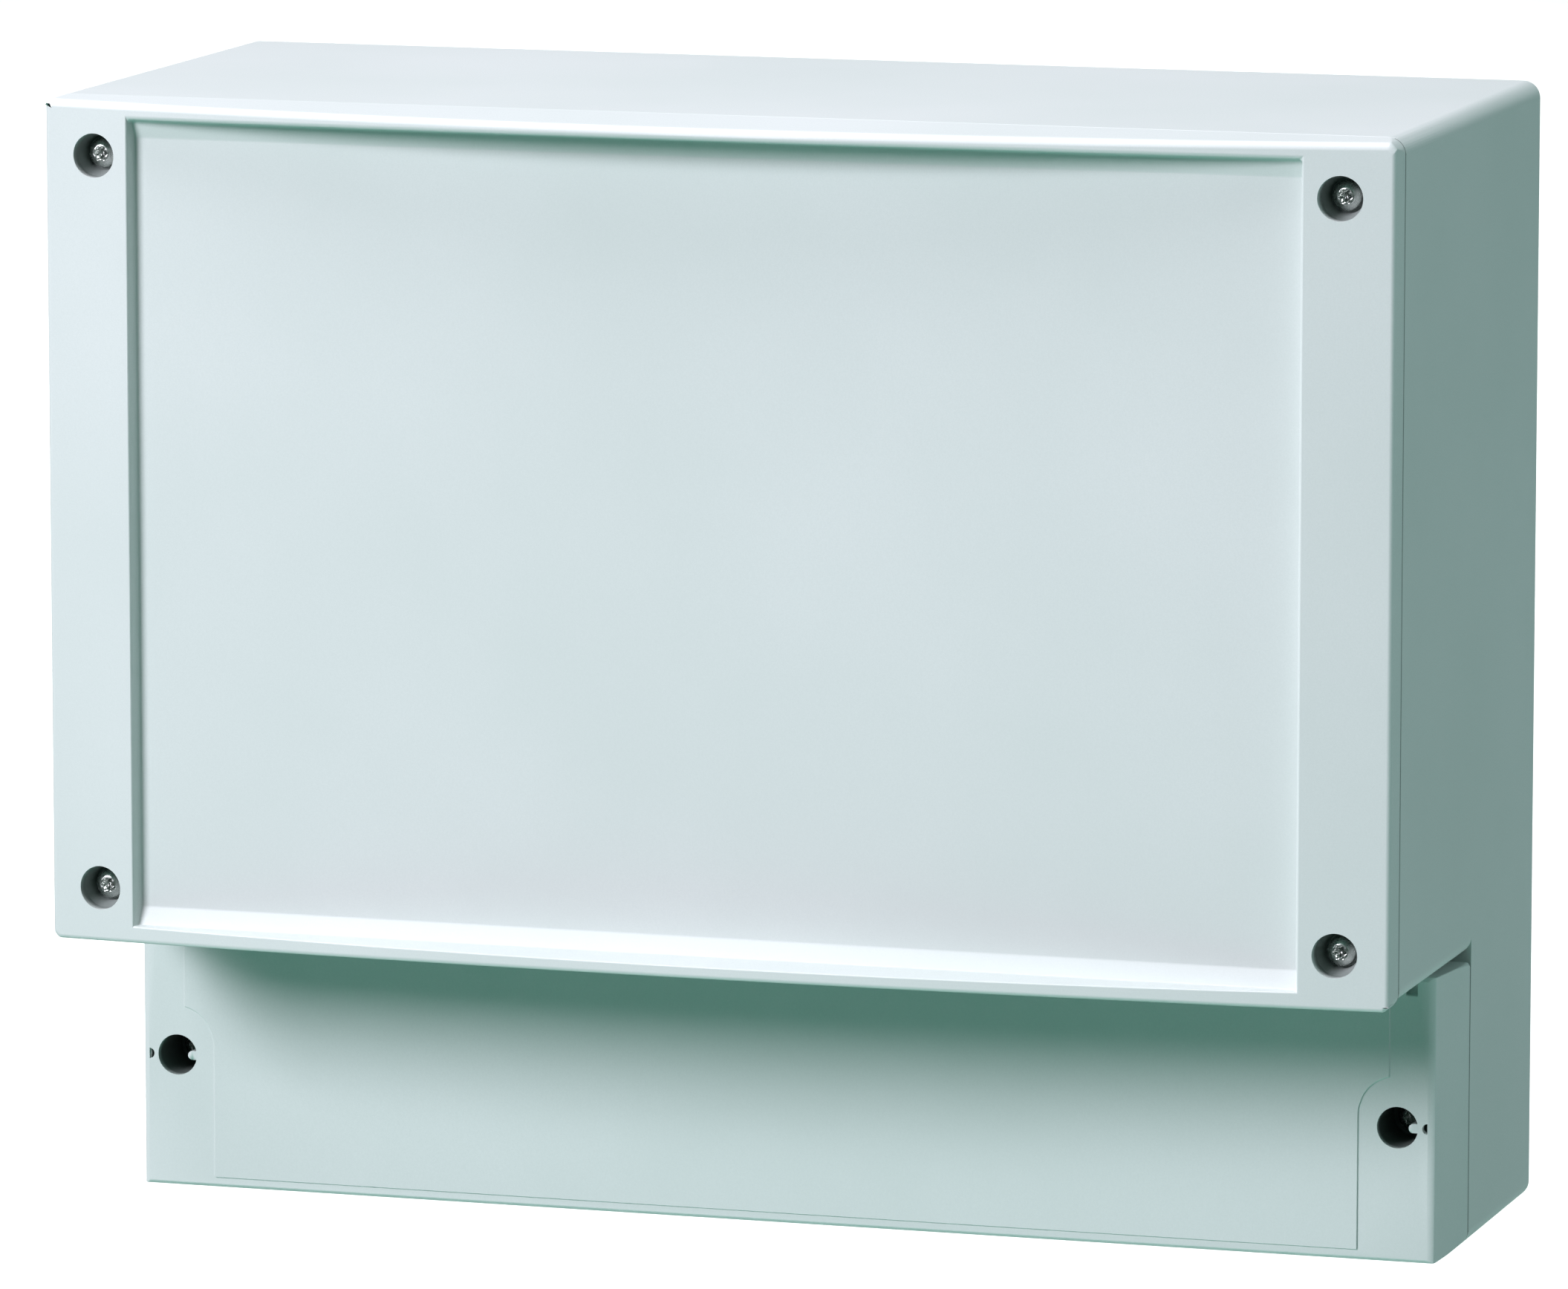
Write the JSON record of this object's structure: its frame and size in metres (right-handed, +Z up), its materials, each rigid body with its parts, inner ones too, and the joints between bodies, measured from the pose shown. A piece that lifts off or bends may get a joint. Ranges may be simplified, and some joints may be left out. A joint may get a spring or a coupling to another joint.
{
  "type": "fire alarm control panel",
  "caption": "Wall-mounted fire alarm control panel in a light grey moulded enclosure with a bowed blank lid, recessed front and separate terminal cover.",
  "frame": {"origin": "centre of the back face, on the wall plane", "axes": "+X to the right seen from the front, +Y into the wall, +Z up; the front faces -Y"},
  "size_m": [0.363, 0.1649, 0.3],
  "materials": {
    "enclosure": "satin, fine spark texture on the outside",
    "gasket": "matt foam rubber",
    "screw_steel": "bright zinc plating",
    "brass": "turned",
    "plate_steel": "zinc-plated sheet",
    "board_green": "solder mask",
    "dark_plastic": "moulded",
    "ferrite": "sintered, matt",
    "winding_tape": "polyester tape",
    "capacitor_sleeve": "shrink sleeve",
    "aluminium": "extruded",
    "battery_case": "moulded",
    "relay_case": "moulded",
    "terminal_green": "moulded",
    "terminal_ivory": "moulded",
    "lens_red": "diffused lens",
    "lens_amber": "diffused lens",
    "lens_green": "diffused lens",
    "button_red": "moulded",
    "button_yellow": "moulded",
    "button_green": "moulded",
    "button_grey": "moulded",
    "fuse_glass": "clear tube"
  },
  "bodies": {
    "enclosure": {"back_shell": "enclosure", "lid_gasket": "gasket", "cover_gasket": "gasket", "thread_inserts": "brass", "entry_grommets": "gasket", "pass_grommets": "gasket", "gear_plate": "plate_steel", "plate_screws": "screw_steel", "board_pillars": "brass", "board_screws": "screw_steel", "psu_tray": "aluminium", "psu_board": "board_green", "psu_core": "ferrite", "psu_winding": "winding_tape", "psu_capacitors": "capacitor_sleeve", "psu_heatsinks": "aluminium", "psu_terminals": "dark_plastic", "battery_left": "battery_case", "battery_right": "battery_case", "battery_tabs": "brass", "battery_strap": "plate_steel", "control_board": "board_green", "board_chips": "dark_plastic", "output_relays": "relay_case", "board_headers": "terminal_green", "board_capacitors": "capacitor_sleeve", "sounder": "dark_plastic", "fire_leds": "lens_red", "fault_leds": "lens_amber", "power_led": "lens_green", "fuse_clips": "screw_steel", "board_fuses": "fuse_glass", "button_bases": "dark_plastic", "key_switch_body": "plate_steel", "tamper_body": "dark_plastic", "field_board": "board_green", "field_terminals": "terminal_green", "clamp_screws": "screw_steel", "mains_terminal": "terminal_ivory", "earth_bar": "brass", "earth_screws": "screw_steel"},
    "lid": {"upper_lid": "enclosure", "lid_screw_rings": "gasket"},
    "lid_screw_tl": {"lid_screw_top_left": "screw_steel"},
    "lid_screw_tr": {"lid_screw_top_right": "screw_steel"},
    "lid_screw_bl": {"lid_screw_low_left": "screw_steel"},
    "lid_screw_br": {"lid_screw_low_right": "screw_steel"},
    "cover": {"terminal_cover": "enclosure", "cover_screw_rings": "gasket"},
    "cover_screw_l": {"cover_screw_left": "screw_steel"},
    "cover_screw_r": {"cover_screw_right": "screw_steel"},
    "evacuate_key": {"evacuate_button": "button_red"},
    "silence_key": {"silence_button": "button_yellow"},
    "reset_key": {"reset_button": "button_green"},
    "test_key": {"test_button": "button_grey"},
    "key_rotor": {"key_barrel": "screw_steel", "key": "screw_steel"},
    "lid_plunger": {"tamper_plunger": "button_red"},
    "fuse_carrier": {"mains_fuse_carrier": "dark_plastic", "mains_fuse": "fuse_glass"}
  },
  "joints": [
    {"name": "lid_lift", "type": "slide", "parent": "enclosure", "child": "lid", "axis": [0, -1, 0], "range_m": [0, 0.08]},
    {"name": "cover_lift", "type": "slide", "parent": "enclosure", "child": "cover", "axis": [0, -1, 0], "range_m": [0, 0.12]},
    {"name": "lid_screw_tl_turn", "type": "hinge", "parent": "lid", "child": "lid_screw_tl", "pos_m": [-0.167, -0.146, 0.1351], "axis": [0, -1, 0], "continuous": true},
    {"name": "lid_screw_tr_turn", "type": "hinge", "parent": "lid", "child": "lid_screw_tr", "pos_m": [0.167, -0.146, 0.1351], "axis": [0, -1, 0], "continuous": true},
    {"name": "lid_screw_bl_turn", "type": "hinge", "parent": "lid", "child": "lid_screw_bl", "pos_m": [-0.167, -0.146, -0.0581], "axis": [0, -1, 0], "continuous": true},
    {"name": "lid_screw_br_turn", "type": "hinge", "parent": "lid", "child": "lid_screw_br", "pos_m": [0.167, -0.146, -0.0581], "axis": [0, -1, 0], "continuous": true},
    {"name": "cover_screw_l_turn", "type": "hinge", "parent": "cover", "child": "cover_screw_l", "pos_m": [-0.1686, -0.076, -0.114], "axis": [0, -1, 0], "continuous": true},
    {"name": "cover_screw_r_turn", "type": "hinge", "parent": "cover", "child": "cover_screw_r", "pos_m": [0.1686, -0.076, -0.114], "axis": [0, -1, 0], "continuous": true},
    {"name": "evacuate_press", "type": "slide", "parent": "enclosure", "child": "evacuate_key", "axis": [0, 1, 0], "range_m": [0, 0.001], "stiffness_N_per_m": 500},
    {"name": "silence_press", "type": "slide", "parent": "enclosure", "child": "silence_key", "axis": [0, 1, 0], "range_m": [0, 0.001], "stiffness_N_per_m": 500},
    {"name": "reset_press", "type": "slide", "parent": "enclosure", "child": "reset_key", "axis": [0, 1, 0], "range_m": [0, 0.001], "stiffness_N_per_m": 500},
    {"name": "test_press", "type": "slide", "parent": "enclosure", "child": "test_key", "axis": [0, 1, 0], "range_m": [0, 0.001], "stiffness_N_per_m": 500},
    {"name": "key_turn", "type": "hinge", "parent": "enclosure", "child": "key_rotor", "pos_m": [0.12, -0.1, 0.042], "axis": [0, 1, 0], "range_deg": [0, 90]},
    {"name": "lid_plunger_slide", "type": "slide", "parent": "enclosure", "child": "lid_plunger", "axis": [0, -1, 0], "range_m": [0, 0.003]},
    {"name": "fuse_carrier_swing", "type": "hinge", "parent": "enclosure", "child": "fuse_carrier", "pos_m": [-0.142, -0.038, -0.106], "axis": [1, 0, 0], "range_deg": [0, 90]}
  ],
  "couplings": [
    {"joint": "lid_plunger_slide", "follows": "lid_lift", "ratio": 0.0375}
  ]
}
